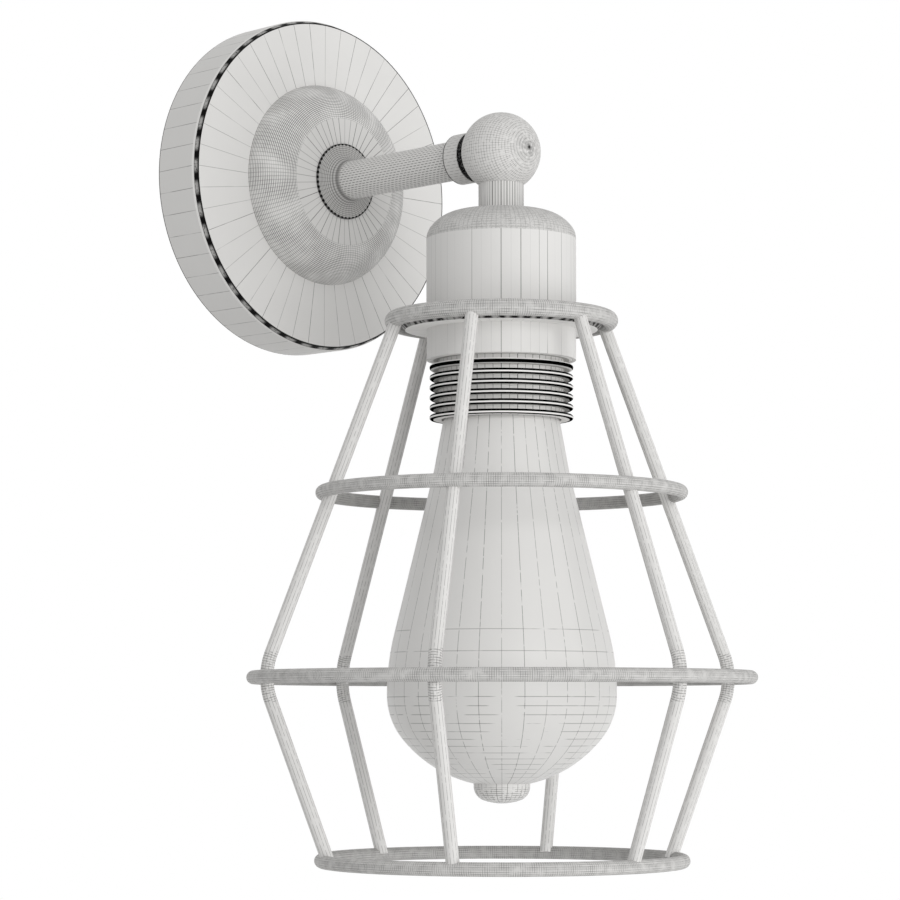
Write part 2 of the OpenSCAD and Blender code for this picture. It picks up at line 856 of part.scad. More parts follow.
module holder_skirt() {
    bore = shell_out + fit_clear;
    inside = barrel_len + disc_t;
    shell_end = shell_len - inside;
    mouth_r = lamp_neck_r + mouth_gap;
    color(pale)
        hung(disc_under)
            rotate_extrude()
                difference() {
                    union() {
                        intersection() {
                            thread_section(0);
                            square([2 * cap_r, skirt_len]);
                        }
                        translate([0, -inside])
                            square([barrel_r, inside]);
                    }
                    polygon([[0, -inside - eps], [bore, -inside - eps], [bore, shell_end],
                        [mouth_r - mouth_draft, skirt_len - mouth_land], [mouth_r, skirt_len],
                        [mouth_r, skirt_len + eps], [0, skirt_len + eps]]);
                }
}

module shade_ring() {
    color(pale)
        hung(disc_under)
            rotate_extrude()
                difference() {
                    square([shade_ring_r, shade_ring_h]);
                    thread_section(thread_clear);
                }
}

// ---- Cage ----

module cage_disc() {
    color(mid_grey)
        hung(disc_top)
            rotate_extrude()
                polygon([[disc_hole, 0], [disc_r, 0], [disc_r, disc_t - disc_edge],
                    [disc_r - disc_edge, disc_t], [disc_hole, disc_t]]);
}

// Closed ring of round wire at a given drop
module wire_ring(drop, ring_r, wire_r) {
    hung(drop)
        rotate_extrude()
            translate([ring_r, 0])
                circle(r = wire_r);
}

// Straight bar between two points of the x-z plane
module bar(from, to, r) {
    translate([from.x, 0, from.y])
        rotate([0, atan2(to.x - from.x, to.y - from.y), 0])
            cylinder(r = r, h = norm(to - from));
}

// The bend of one rod at the waist, about the cage's axis
module rod_knee(grow) {
    translate([p_bend_mid.x, 0, p_bend_mid.y])
        rotate([90, 0, 0])
            rotate([0, 0, -tilt_low])
                rotate_extrude(angle = tilt_up + tilt_low)
                    translate([rod_bend, 0])
                        circle(r = rod_r + knee_swell + grow);
}

// Turns its child to the place of one rod
module at_rod(i) {
    translate([0, -arm_reach, 0])
        rotate([0, 0, rod_start + i * 360 / rod_count])
            children();
}

module cage_top_ring() {
    color(mid_grey)
        wire_ring(top_drop, top_ring_r, top_wire_r);
}

module cage_upper_ring() {
    color(mid_grey)
        difference() {
            wire_ring(top_drop + upper_drop, upper_ring_r, ring_wire_r);
            for (i = [0 : rod_count - 1])
                at_rod(i)
                    bar(p_top, p_bend_up, rod_r + weld_clear);
        }
}

module cage_waist_ring() {
    color(mid_grey)
        difference() {
            wire_ring(top_drop + waist_drop, waist_ring_r, ring_wire_r);
            for (i = [0 : rod_count - 1])
                at_rod(i)
                    rod_knee(weld_clear);
        }
}

module cage_bottom_ring() {
    color(mid_grey)
        wire_ring(top_drop + bottom_drop, bottom_ring_r, ring_wire_r);
}

// One bent rod, coped where it meets the top and bottom rings
module cage_rod(i) {
    color(pale)
        difference() {
            at_rod(i) {
                bar(p_top, p_lap_up, rod_r);
                rod_knee(0);
                bar(p_lap_low, p_bottom, rod_r);
            }
            wire_ring(top_drop, top_ring_r, top_wire_r + weld_clear);
            wire_ring(top_drop + bottom_drop, bottom_ring_r, ring_wire_r + weld_clear);
        }
}

// ---- Lamp ----

// Part of a circle between two angles below the horizontal
module sector(r, from, to) {
    far = 2 * r;
    intersection() {
        circle(r = r);
        polygon([[0, 0], far * [cos(from), sin(from)], far * [cos(to), sin(to)]]);
    }
}

// Half section of the glass, drawn in by its wall for the hollow; y runs down
module glass_section(inset) {
    polygon([[0, lamp_cap_len - 2], [lamp_cap_r - inset, lamp_cap_len - 2],
        [lamp_cap_r - inset, lamp_cap_len], [lamp_cap_r + 0.7 - inset, lamp_cap_len + 0.6],
        [lamp_neck_r - 0.6 - inset, lamp_neck - 2], [lamp_neck_r - inset, lamp_neck],
        [cone_top_r - inset, lamp_cone_top], [cone_end_r - inset, cone_end], [0, cone_end]]);
    intersection() {
        translate([lamp_r - lamp_upper_round, lamp_belly])
            circle(r = lamp_upper_round - inset);
        translate([0, cone_end])
            square([lamp_r, lamp_belly - cone_end]);
    }
    translate([0, end_mid])
        sector(lamp_end_round - inset, end_angle, 90);
    translate([belly_mid, lamp_belly])
        sector(lamp_belly_round - inset, 0, end_angle);
    polygon([[0, lamp_belly], [belly_mid, lamp_belly], [0, end_mid]]);
}

// Blunt tip: a short straight side, a round edge and a slightly crowned end
module tip_section() {
    translate([0, tip_root])
        square([lamp_tip_r, tip_edge_mid.y - tip_root]);
    translate([0, tip_end_mid])
        sector(tip_end_r, tip_angle, 90);
    translate(tip_edge_mid)
        sector(lamp_tip_round, 0, tip_angle);
    polygon([[0, tip_edge_mid.y], tip_edge_mid, [0, tip_end_mid]]);
}

module lamp_envelope() {
    color(cream)
        hung(lamp_top)
            rotate_extrude()
                difference() {
                    union() {
                        glass_section(0);
                        tip_section();
                    }
                    glass_section(lamp_wall);
                }
}

module lamp_cap_shell() {
    rings = floor((cap_step - lamp_core_top - 2) / lamp_pitch);
    color(zinc)
        hung(lamp_top)
            rotate_extrude()
                difference() {
                    union() {
                        translate([0, lamp_core_top])
                            square([lamp_core_r, cap_step - lamp_core_top]);
                        for (i = [1 : rings])
                            translate([lamp_core_r, cap_step - lamp_pitch * (i - 0.5)])
                                circle(r = lamp_thread_r - lamp_core_r);
                        translate([0, cap_step])
                            square([lamp_cap_r + cap_sheet + fit_clear, lamp_cap_len - cap_step]);
                    }
                    square([lamp_core_r - cap_sheet, cap_step + eps]);
                    translate([0, cap_step + cap_sheet])
                        square([lamp_cap_r + fit_clear, lamp_cap_len]);
                }
}

module lamp_cap_insulator() {
    inner = lamp_core_r - cap_sheet - fit_clear;
    color(black)
        hung(lamp_top)
            rotate_extrude()
                polygon([[0, lamp_contact_t], [lamp_seat_r, lamp_contact_t],
                    [lamp_core_r - 2 * fit_clear, lamp_core_top], [inner, lamp_core_top],
                    [inner, lamp_seat_end], [0, lamp_seat_end]]);
}

module lamp_contact() {
    color(zinc)
        hung(lamp_top)
            rotate_extrude()
                polygon([[0, 0], [lamp_contact_r - 1, 0], [lamp_contact_r, lamp_contact_edge],
                    [lamp_contact_r, lamp_contact_t], [0, lamp_contact_t]]);
}

module lamp_stem() {
    flare = lamp_cap_r - lamp_wall - fit_clear;
    rod_end = filament_top + filament_len + 2;
    color([0.9, 0.93, 0.95])
        hung(lamp_top)
            rotate_extrude()
                polygon([[0, lamp_cap_len - 1.5], [flare, lamp_cap_len - 1.5],
                    [flare, lamp_cap_len], [stem_foot_r, lamp_cap_len + stem_foot],
                    [stem_rod_r, lamp_cap_len + stem_waist],
                    [stem_rod_r, rod_end - 1], [stem_rod_r - 1, rod_end], [0, rod_end]]);
}

// Places its child at each filament
module at_filaments() {
    for (i = [0 : 3])
        rotate([0, 0, 45 + 90 * i])
            children();
}

module lamp_supports() {
    wire_r = 0.4;
    reach = filament_circle + filament_r;
    color(zinc)
        hung(lamp_top)
            at_filaments()
                for (z = [filament_top - wire_r - fit_clear,
                        filament_top + filament_len + wire_r + fit_clear])
                    translate([stem_rod_r + fit_clear, 0, z])
                        rotate([0, 90, 0])
                            cylinder(r = wire_r, h = reach - stem_rod_r - fit_clear);
}

module lamp_filaments() {
    color([1, 0.85, 0.5])
        hung(lamp_top)
            at_filaments()
                translate([filament_circle, 0, filament_top])
                    cylinder(r = filament_r, h = filament_len);
}

canopy();
wall_bracket();
canopy_nipple();
nipple_locknuts();
earth_screw();
terminal_block();
block_screws();
earth_lead();
arm_flex();
arm_flange();
arm_tube();
arm_collar();
swivel_washer();
stop_pin();
swivel_ball();
swivel_spindle();
swivel_spring();
swivel_nut();
neck_tube();
neck_nipple();
neck_locknut();
head_flex();
holder_cap();
holder_leads();
terminal_screws();
holder_insulator();
screw_shell();
centre_contact();
holder_skirt();
shade_ring();
cage_disc();
cage_top_ring();
cage_upper_ring();
cage_waist_ring();
cage_bottom_ring();
cage_rod(0);  // cage_rod_1
cage_rod(1);  // cage_rod_2
cage_rod(2);  // cage_rod_3
cage_rod(3);  // cage_rod_4
cage_rod(4);  // cage_rod_5
cage_rod(5);  // cage_rod_6
lamp_envelope();
lamp_cap_shell();
lamp_cap_insulator();
lamp_contact();
lamp_stem();
lamp_supports();
lamp_filaments();
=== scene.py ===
"""Cage wall light: finishes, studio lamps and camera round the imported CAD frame."""
import math

import bpy
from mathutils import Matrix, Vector

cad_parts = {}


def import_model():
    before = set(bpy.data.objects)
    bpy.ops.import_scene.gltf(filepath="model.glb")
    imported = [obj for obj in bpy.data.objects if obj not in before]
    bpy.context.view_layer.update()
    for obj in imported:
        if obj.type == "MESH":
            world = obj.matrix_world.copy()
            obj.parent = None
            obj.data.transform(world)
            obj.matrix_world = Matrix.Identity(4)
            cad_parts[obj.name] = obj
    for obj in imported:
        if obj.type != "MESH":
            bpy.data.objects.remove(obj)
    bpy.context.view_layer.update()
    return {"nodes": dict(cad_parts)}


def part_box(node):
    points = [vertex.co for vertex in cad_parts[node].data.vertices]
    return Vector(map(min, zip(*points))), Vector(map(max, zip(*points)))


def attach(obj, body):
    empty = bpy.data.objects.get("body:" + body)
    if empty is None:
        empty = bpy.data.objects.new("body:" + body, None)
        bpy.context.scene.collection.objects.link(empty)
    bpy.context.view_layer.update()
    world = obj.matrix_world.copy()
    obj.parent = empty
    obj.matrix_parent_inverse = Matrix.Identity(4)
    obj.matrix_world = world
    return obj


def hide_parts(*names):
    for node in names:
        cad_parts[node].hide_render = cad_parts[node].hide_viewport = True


MM = 0.001

# ---- Sizes of the light that its finishes and wires follow, in millimetres ----
# Heights on the wall's axis run out from the wall, those on the lamp's axis up from the arm.
LAMP_Y = -92.6                   # the lamp's upright axis, measured from the wall
AXES = {                         # name: turn and shift that lay the axis along z
    "lamp": (0.0, -LAMP_Y),
    "wall": (-math.pi / 2, 0.0),
}

EDGE = 0.5                       # margin by which a zone takes in the edge that it ends on
FROM_MIDDLE = -1                 # low end of a zone or band that takes in its middle

CANOPY_OUT = 51.0                # just outside the canopy's edge
CANOPY_FOOT = 0.3                # dark line where it stands on the wall
CANOPY_SIDE = 15.3               # height of its straight side
CANOPY_FRONT = 17.15             # height of its flat front
RIM_R = 48.9                     # where its front meets the chamfer painted black as shade
RIM_LOW = 15.9                   # where the black painted shade starts on the chamfer
RIM_WORN_R = (49.3, 50.05)       # where the black painted shade is rubbed pale in dashes
RIM_WORN_Z = (16.0, 17.05)
BOSS_TOP_R = 19.16
BOSS_FOOT_R = 30.29
BOSS_TOP = 26.1
BOSS_ROUND = 11.4                # radius of the boss's rounded shoulder

FLANGE_R = 11.35
FLANGE_LINE = 0.3                # width of the dark line of painted shade round the flange's foot
FLANGE_NICKS = 0.55              # reach of the nicks across it
COLLAR_BACK_R = (5.5, 9.0)
COLLAR_SEAM = 0.72               # width of the seam between arm and collar
BALL_R = 11.3
BALL_MARK_R = 0.65               # mark of the lathe's centre on the ball's front
BALL_FRONT = 110                 # past the ball's front

CAP_TOP_R = 11.06                # flat on top of the cap's dome
CAP_ROUND = 11.27
CAP_TOP = -17.2
CAP_SHOULDER = -25.2             # where the cap's dome meets its straight side
CAP_END = -60.0                  # below the cap
DISC_EDGE_R = (27.25, 31.0)      # the disc's edge by the top ring: painted shade in grey, with black nicks

THREAD_OUT = 22.0                # just outside the thread
THREAD_ROOT_R = 17.85            # the grooves' flanks start here
THREAD_TOP = -40.0               # above the thread
CREST_EDGE_R = 19.2              # where the crests start to round off
CREST_FACE = -76.03              # height of the lowest crest's pale face between painted shade, a little low on it
CREST_PITCH = 2.83
CREST_BRIGHT = 0.22              # half the height of the pale face left between the painted shade
CREST_PLAIN = -63.2              # above this the crests' rounded edge gets no painted shade
CREST_BLACK = (-62.36, -61.37)   # painted shade: the black band over the first of them, below the shade ring
SKIRT_END = -76.4                # bottom of the thread
SKIRT_LIP = 0.2                  # margin that takes in its edge

GLASS_END_MID = -143.56          # middle of the lamp's round end
GLASS_END_R = 35.6
GLASS_END_Z = (-179.4, -154.0)   # where close level lines cross the round end
GLASS_END_REACH = (12.0, 33.0)   # the radii between which they show
GLASS_WIDE_Z = (-143.5, -135.0)  # where two single lines lie above them
GLASS_WIDE_LINE = -142.05
GLASS_WIDE_STEP = 5.95
GLASS_TIP_Z = (-190.0, -179.4)

LINES = 48                       # scribed lines round every turned piece
LAMP_LINES = 32                  # mould lines round the lamp
BALL_LINES = 80                  # meridians round the ball

WIRE_RINGS = {                   # name: ring radius, wire radius, height
    "cage_top_ring": (30.66, 2.35, -48.45),
    "cage_upper_ring": (50.48, 1.9, -97.18),
    "cage_waist_ring": (69.52, 1.9, -148.94),
    "cage_bottom_ring": (50.44, 1.9, -199.76),
}
RING_STEPS = 160                 # straight pieces in a ring, and sides of its wire
RING_SIDES = 24

ROD_COUNT = 6
ROD_START = 30                   # degrees to the first rod
ROD_SIZES = {                    # the rod tree's own inputs
    "Top radius": 30.16, "Top height": -48.45,
    "Knee radius": 68.10, "Knee height": -148.94,
    "Foot radius": 49.34, "Foot height": -199.76,
    "Bend radius": 19.0, "Wire radius": 1.85,
}
ROD_SIDES = 20
ROD_BEND_STEPS = 12
KNEE_MARKS = 6.9                 # reach of the bending marks above and below the knee

# ---- Studio, in metres, degrees and watts ----
CAMERA_AT = (-0.60258, -0.69729, -0.15899)
CAMERA_TURN = (94.95578, 0.0, -43.9254)
CAMERA_LENS = 121.578            # millimetres, on a sensor of the next width
CAMERA_SENSOR = 36.0
CAMERA_FAR = 100.0
FLOOR_Z = -1.2
FLOOR_REACH = 12.0
FLOOR_GLOW = 0.6                 # lifts the floor to white for the camera
SOFTBOXES = {                    # name: place, side of the square lamp, power
    "front_softbox": ((-0.384, -1.627, 0.059), 0.8, 8.8),
    "low_softbox": ((0.401, -1.474, -0.756), 0.8, 5.2),
}
STUDIO_AIM = (0.0, -0.08, -0.08)
SKY_LIGHT = 0.69

# ---- How marks are drawn ----
LINE_FADE = (0.25, 0.75)         # shares of a line's width over which it fades out
FAINT_TO_STRONG = (0.2, 0.65)    # chances between which an uneven line gains its strength
DASH_SHIFT = 0.4                 # share of the pitch by which a line's dashes pass its neighbour's
INNER_SHADE_LEAN = (0.1, -0.5)        # outward lean of a wire where the painted shade on its inner side starts and is full
ROUGH_SWING = 0.05               # roughness moves this much either way


# ---- Helpers ----

def linear(code, gain=1.0):
    """Linear RGBA of an sRGB hex colour, times a gain."""
    parts = [int(code[i:i + 2], 16) / 255 for i in (1, 3, 5)]
    parts = [c / 12.92 if c <= 0.04045 else ((c + 0.055) / 1.055) ** 2.4 for c in parts]
    return tuple(gain * c for c in parts) + (1.0,)


def node(tree, kind, links=None, values=None, **settings):
    """Adds one node: settings are its properties; values and links go to its inputs."""
    made = tree.nodes.new(kind)
    for key, value in settings.items():
        setattr(made, key, value)
    for key, value in (values or {}).items():
        made.inputs[key].default_value = value
    for key, source in (links or {}).items():
        tree.links.new(source, made.inputs[key])
    return made


# ---- Marks: each returns a function that draws a mask from 0 to 1 on a material ----

def place(tree, axis):
    """The surface point in millimetres; z runs along the named axis of the light."""
    turn, shift = AXES[axis]
    coords = node(tree, "ShaderNodeTexCoord").outputs["Object"]
    scale = 1 / MM
    return node(tree, "ShaderNodeMapping", {"Vector": coords},
                {"Scale": (scale, scale, scale), "Rotation": (turn, 0, 0),
                 "Location": (0, shift, 0)}).outputs[0]


def about(tree, axis):
    """Angle, radius and height of the surface point about an axis."""
    parts = node(tree, "ShaderNodeSeparateXYZ", {0: place(tree, axis)})
    angle = node(tree, "ShaderNodeMath", {0: parts.outputs[1], 1: parts.outputs[0]},
                 operation="ARCTAN2")
    flat = node(tree, "ShaderNodeCombineXYZ", {0: parts.outputs[0], 1: parts.outputs[1]})
    radius = node(tree, "ShaderNodeVectorMath", {0: flat.outputs[0]}, operation="LENGTH")
    return angle.outputs[0], radius.outputs["Value"], parts.outputs[2]


def thin(tree, distance, width):
    """Mask of a line of this width, from the distance to its middle."""
    core, edge = LINE_FADE
    return node(tree, "ShaderNodeMapRange", {"Value": distance},
                {"From Min": width * core, "From Max": width * edge, "To Min": 1.0, "To Max": 0.0},
                interpolation_type="SMOOTHSTEP").outputs[0]


def within(tree, value, low, high, soft=0.05):
    """Mask that is 1 while value lies between low and high."""
    middle = node(tree, "ShaderNodeMath", {0: value}, {1: (low + high) / 2}, operation="SUBTRACT")
    off = node(tree, "ShaderNodeMath", {0: middle.outputs[0]}, operation="ABSOLUTE")
    half = (high - low) / 2
    return node(tree, "ShaderNodeMapRange", {"Value": off.outputs[0]},
                {"From Min": half - soft, "From Max": half + soft,
                 "To Min": 1.0, "To Max": 0.0}).outputs[0]


def both(*marks):
    """Where all of these marks lie over one another."""
    def draw(tree):
        mask = marks[0](tree)
        for mark in marks[1:]:
            mask = node(tree, "ShaderNodeMath", {0: mask, 1: mark(tree)},
                        operation="MULTIPLY").outputs[0]
        return mask
    return draw


def numbered(tree, angle, count):
    """The number of the nearest of so many lines round an axis."""
    turn = node(tree, "ShaderNodeMath", {0: angle}, {1: count / (2 * math.pi)},
                operation="MULTIPLY")
    return node(tree, "ShaderNodeMath", {0: turn.outputs[0]}, operation="ROUND").outputs[0]


def spokes(axis, count, width, uneven=0.0):
    """Hairlines out from, or along, the axis; uneven ones differ in strength by that much."""
    def draw(tree):
        angle, radius, _ = about(tree, axis)
        off = node(tree, "ShaderNodeMath", {0: angle}, {1: math.pi / count}, operation="PINGPONG")
        gap = node(tree, "ShaderNodeMath", {0: off.outputs[0], 1: radius}, operation="MULTIPLY")
        line = thin(tree, gap.outputs[0], width)
        if not uneven:
            return line
        index = numbered(tree, angle, count)
        chance = node(tree, "ShaderNodeTexWhiteNoise", {"W": index}, noise_dimensions="1D")
        faint, strong = FAINT_TO_STRONG
        power = node(tree, "ShaderNodeMapRange", {"Value": chance.outputs[0]},
                     {"From Min": faint, "From Max": strong, "To Min": 1.0 - uneven},
                     interpolation_type="SMOOTHSTEP")
        return node(tree, "ShaderNodeMath", {0: line, 1: power.outputs[0]},
                    operation="MULTIPLY").outputs[0]
    return draw


def dashes(axis, count, pitch, share):
    """Cuts lengthwise lines into dashes of this pitch, each line's a step on from the last's."""
    def draw(tree):
        angle, _, height = about(tree, axis)
        level = node(tree, "ShaderNodeMath", {0: numbered(tree, angle, count), 2: height},
                     {1: DASH_SHIFT * pitch}, operation="MULTIPLY_ADD")
        off = node(tree, "ShaderNodeMath", {0: level.outputs[0]}, {1: pitch / 2},
                   operation="PINGPONG")
        return thin(tree, off.outputs[0], pitch * share)
    return draw


def parallels(axis, middle, radius, step, width, ring=0.0):
    """Circles a steady step apart on a ball, or on a round whose middle runs on a ring."""
    def draw(tree):
        _, reach, height = about(tree, axis)
        if ring:
            reach = node(tree, "ShaderNodeMath", {0: reach}, {1: ring},
                         operation="SUBTRACT").outputs[0]
        level = node(tree, "ShaderNodeMath", {0: height}, {1: middle}, operation="SUBTRACT")
        angle = node(tree, "ShaderNodeMath", {0: reach, 1: level.outputs[0]}, operation="ARCTAN2")
        arc = node(tree, "ShaderNodeMath", {0: angle.outputs[0]}, {1: radius},
                   operation="MULTIPLY")
        off = node(tree, "ShaderNodeMath", {0: arc.outputs[0]}, {1: step / 2},
                   operation="PINGPONG")
        return thin(tree, off.outputs[0], width)
    return draw


def stacked(axis, start, pitch, low, high):
    """Bands that repeat along the axis, from low to high above and below each start."""
    def draw(tree):
        _, _, height = about(tree, axis)
        level = node(tree, "ShaderNodeMath", {0: height}, {1: start}, operation="SUBTRACT")
        off = node(tree, "ShaderNodeMath", {0: level.outputs[0]}, {1: pitch / 2},
                   operation="PINGPONG")
        return within(tree, off.outputs[0], low, high)
    return draw


def turned(axis, pitch, width, along="radius"):
    """Fine rings left by the spinning tool, at a steady pitch in radius or in height."""
    def draw(tree):
        _, radius, height = about(tree, axis)
        off = node(tree, "ShaderNodeMath", {0: radius if along == "radius" else height},
                   {1: pitch / 2}, operation="PINGPONG")
        return thin(tree, off.outputs[0], width)
    return draw


def zone(axis, radii=None, heights=None, soft=0.05):
    """A part of the surface, by its radius and its height on the axis."""
    def draw(tree):
        _, radius, height = about(tree, axis)
        masks = [within(tree, value, *span, soft)
                 for value, span in ((radius, radii), (height, heights)) if span]
        if len(masks) == 1:
            return masks[0]
        return node(tree, "ShaderNodeMath", {0: masks[0], 1: masks[1]},
                    operation="MULTIPLY").outputs[0]
    return draw


def painted_inner_shade():
    """Mask of painted shade: the side of a wire ring that faces the lamp."""
    def draw(tree):
        parts = node(tree, "ShaderNodeSeparateXYZ", {0: place(tree, "lamp")})
        flat = node(tree, "ShaderNodeCombineXYZ", {0: parts.outputs[0], 1: parts.outputs[1]})
        outward = node(tree, "ShaderNodeVectorMath", {0: flat.outputs[0]},
                       operation="NORMALIZE").outputs[0]
        normal = node(tree, "ShaderNodeTexCoord").outputs["Normal"]
        facing = node(tree, "ShaderNodeVectorMath", {0: outward, 1: normal},
                      operation="DOT_PRODUCT")
        start, full = INNER_SHADE_LEAN
        return node(tree, "ShaderNodeMapRange", {"Value": facing.outputs["Value"]},
                    {"From Min": start, "From Max": full}).outputs[0]
    return draw


def broken(size, low=0.42, high=0.58, stretch=(1, 1, 1)):
    """Patches of about this size that break a line up; it is gone at low and whole at high."""
    def draw(tree):
        coords = node(tree, "ShaderNodeTexCoord").outputs["Object"]
        scaled = node(tree, "ShaderNodeMapping", {"Vector": coords},
                      {"Scale": tuple(1 / (size * MM) * s for s in stretch)})
        noise = node(tree, "ShaderNodeTexNoise", {"Vector": scaled.outputs[0]},
                     {"Scale": 1.0, "Detail": 2.0})
        return node(tree, "ShaderNodeMapRange", {"Value": noise.outputs[0]},
                    {"From Min": low, "From Max": high}).outputs[0]
    return draw


def lay(label, pitch, width):
    """Lines on a swept wire, read from the wire's own round and along values."""
    def draw(tree):
        value = node(tree, "ShaderNodeAttribute", attribute_name=label).outputs["Fac"]
        off = node(tree, "ShaderNodeMath", {0: value}, {1: pitch / 2}, operation="PINGPONG")
        return thin(tree, off.outputs[0], width)
    return draw


def layer(mark, shade, cover, depth=0.0):
    """One layer of a finish: its mark, colour, how fully it covers, and its height in mm."""
    return mark, shade, cover, depth


def surface(name, colour, roughness, layers=(), metallic=0.0, mottle=0.03, patch=14.0,
            grain=0.5, relief=0.006, **shader):
    """A mottled, finely grained finish with layers of marks over it; sizes are in mm.

    A powder coat's peel is finer in truth: half a millimetre is the finest that shows here.
    """
    mat = bpy.data.materials.new(name)
    mat.use_nodes = True
    tree = mat.node_tree
    tree.nodes.clear()
    coords = node(tree, "ShaderNodeTexCoord").outputs["Object"]
    cloud = node(tree, "ShaderNodeTexNoise", {"Vector": coords},
                 {"Scale": 1 / (patch * MM), "Detail": 3.0}).outputs[0]
    peel = node(tree, "ShaderNodeTexNoise", {"Vector": coords},
                {"Scale": 1 / (grain * MM), "Detail": 1.0}).outputs[0]
    tint = node(tree, "ShaderNodeMix", {0: cloud},
                {6: linear(colour, 1 - mottle), 7: linear(colour, 1 + mottle)},
                data_type="RGBA").outputs[2]
    height = node(tree, "ShaderNodeMath", {0: peel}, {1: relief}, operation="MULTIPLY").outputs[0]
    for mark, shade, cover, depth in layers:
        mask = mark(tree)
        covered = node(tree, "ShaderNodeMath", {0: mask}, {1: cover},
                       operation="MULTIPLY").outputs[0]
        tint = node(tree, "ShaderNodeMix", {0: covered, 6: tint}, {7: linear(shade)},
                    data_type="RGBA").outputs[2]
        if depth:
            height = node(tree, "ShaderNodeMath", {0: mask, 2: height}, {1: depth},
                          operation="MULTIPLY_ADD").outputs[0]
    rough = node(tree, "ShaderNodeMapRange", {"Value": cloud},
                 {"To Min": roughness - ROUGH_SWING, "To Max": roughness + ROUGH_SWING}).outputs[0]
    bump = node(tree, "ShaderNodeBump", {"Height": height},
                {"Strength": 1.0, "Distance": MM}).outputs[0]
    values = {"Metallic": metallic}
    values.update({key.replace("_", " "): value for key, value in shader.items()})
    shade = node(tree, "ShaderNodeBsdfPrincipled",
                 {"Base Color": tint, "Roughness": rough, "Normal": bump}, values)
    node(tree, "ShaderNodeOutputMaterial", {"Surface": shade.outputs[0]})
    return mat


# ---- Finishes ----

PALE = "#DAD9D7"         # the light's warm pale grey
HAIR = "#5C5B5A"         # its faint hairlines
INK = "#353433"          # its strong ones
DULL = {"Specular_IOR_Level": 0.06}
COAT_ROUGH = 0.55        # roughness of a matt powder coat


def canopy_coat():
    """Matt powder coat on spun steel: fine peel, radial hairlines, turned boss, and painted shade
    in black on the rim's chamfer, rubbed pale in dashes.
    """
    front = zone("wall", radii=(BOSS_FOOT_R, RIM_R), heights=(CANOPY_FRONT - EDGE, BOSS_TOP))
    boss = zone("wall", radii=(BOSS_TOP_R, BOSS_FOOT_R), heights=(CANOPY_FRONT, BOSS_TOP + EDGE))
    top = zone("wall", radii=(0, BOSS_TOP_R), heights=(BOSS_TOP - EDGE, BOSS_TOP + EDGE))
    side = zone("wall", radii=(RIM_R, CANOPY_OUT), heights=(0, CANOPY_SIDE))
    rim = zone("wall", radii=(RIM_R, CANOPY_OUT), heights=(RIM_LOW, CANOPY_FRONT + EDGE))
    worn = zone("wall", radii=RIM_WORN_R, heights=RIM_WORN_Z, soft=0.15)
    foot = zone("wall", radii=(RIM_R, CANOPY_OUT), heights=(-EDGE, CANOPY_FOOT))
    boss_rings = parallels("wall", BOSS_TOP - BOSS_ROUND, BOSS_ROUND, step=0.54, width=0.24,
                           ring=BOSS_TOP_R)
    return surface("matt powder coat on spun steel", PALE, COAT_ROUGH, [
        layer(top, "#C0BFBD", cover=0.45),
        layer(boss, "#E2E1DF", cover=0.6),
        layer(both(boss, boss_rings, broken(7, 0.1, 0.6)), INK, cover=0.74, depth=-0.01),
        layer(both(boss, spokes("wall", 3 * LINES, width=0.2)), HAIR, cover=0.42),
        layer(both(top, spokes("wall", LINES, width=0.17, uneven=0.5)), INK,
              cover=0.85, depth=-0.01),
        layer(both(front, spokes("wall", LINES, width=0.15, uneven=0.45), broken(9, 0.2, 0.5)),
              INK, cover=0.78, depth=-0.01),
        layer(both(side, spokes("wall", LINES, width=0.18), broken(7, 0.25, 0.55)), HAIR,
              cover=0.65, depth=-0.01),
        layer(foot, "#1C1C1C", cover=0.85),
        # painted shade: the whole chamfer round the rim is painted black
        layer(rim, "#060606", cover=1.0, depth=-0.02),
        layer(both(worn, spokes("wall", LINES, width=3.4), broken(0.6, 0.2, 0.5)), "#B5B4B2",
              cover=0.85, depth=0.02),
    ], **DULL)


def arm_coat():
    """Matt powder coat on drawn tube: close lengthwise draw lines in dashes."""
    drawn = both(spokes("wall", LINES, width=0.2), dashes("wall", LINES, pitch=1.6, share=0.7))
    return surface("matt powder coat on drawn tube", "#DEDDDB", COAT_ROUGH, [
        layer(drawn, INK, cover=0.82, depth=-0.01),
    ], **DULL)


def flange_coat():
    """Matt powder coat over a turned flange: close rings, painted shade in a dark line round its
    foot, with black nicks.
    """
    foot = zone("wall", radii=(FLANGE_R - FLANGE_LINE, FLANGE_R + EDGE))
    nicks = zone("wall", radii=(FLANGE_R - FLANGE_NICKS, FLANGE_R + EDGE))
    return surface("matt powder coat on turned steel", "#BAB9B7", COAT_ROUGH, [
        layer(turned("wall", pitch=0.55, width=0.26), INK, cover=0.5, depth=-0.01),
        layer(spokes("wall", LINES, width=0.14), INK, cover=0.5),
        # painted shade: a dark line round the flange's foot, where it meets the boss
        layer(foot, "#101010", cover=0.72),
        layer(both(nicks, spokes("wall", LINES, width=0.8)), "#040404", cover=1.0),
    ], **DULL)


def collar_coat():
    """Matt powder coat on the turned collar: a dark seam where it meets the arm."""
    back = -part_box("arm_collar")[1][1] / MM
    seam = zone("wall", radii=COLLAR_BACK_R, heights=(back - EDGE, back + COLLAR_SEAM))
    drawn = both(spokes("wall", LINES, width=0.18), dashes("wall", LINES, pitch=2.4, share=0.7))
    return surface("matt powder coat on the collar", "#D4D3D1", COAT_ROUGH, [
        layer(drawn, INK, cover=0.42, depth=-0.01),
        layer(seam, "#1E1E1E", cover=0.9),
    ], **DULL)


